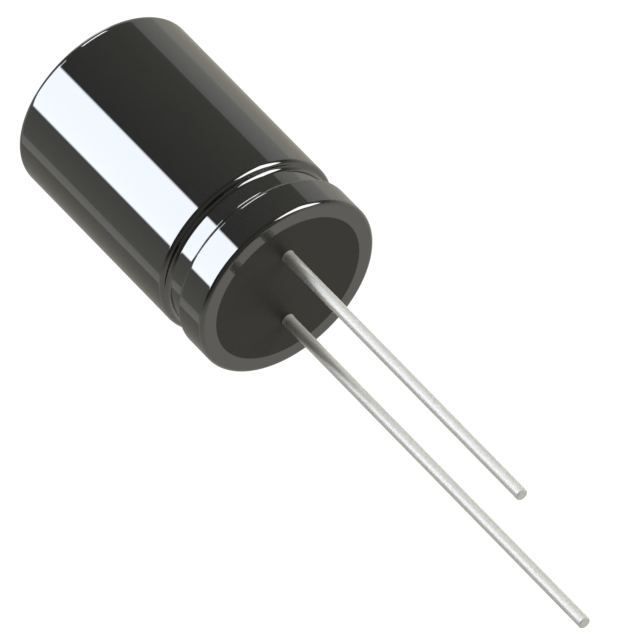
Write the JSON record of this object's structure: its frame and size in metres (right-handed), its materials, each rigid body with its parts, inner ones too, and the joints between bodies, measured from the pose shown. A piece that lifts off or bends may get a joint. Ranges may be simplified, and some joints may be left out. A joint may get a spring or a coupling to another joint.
{
  "type": "electrolytic capacitor",
  "caption": "Radial aluminium electrolytic capacitor: plain black sleeved can with a rolled groove, rubber-sealed end and straight tinned leads of unequal length.",
  "frame": {"origin": "middle of the closed end's resting plane, under the can's axis", "axes": "+Z along the can's axis from the closed end towards the leads' tips; the two leads lie on the X axis, the longer one at +X"},
  "size_m": [0.008, 0.008, 0.031],
  "materials": {
    "sleeve_film": "glossy black shrink film, no print",
    "can_aluminium": "drawn aluminium, satin",
    "bung_rubber": "matt moulded rubber",
    "tinned_wire": "tinned wire, dull silver",
    "tab_aluminium": "plain pressed aluminium",
    "winding_paper": "foil and paper roll, soaked paper edges",
    "winding_tape": "amber adhesive tape"
  },
  "bodies": {
    "root": {"sleeve": "sleeve_film", "can": "can_aluminium", "rubber_bung": "bung_rubber", "anode_lead": "tinned_wire", "cathode_lead": "tinned_wire", "anode_tab": "tab_aluminium", "cathode_tab": "tab_aluminium", "wound_element": "winding_paper", "element_tape": "winding_tape"}
  },
  "joints": []
}
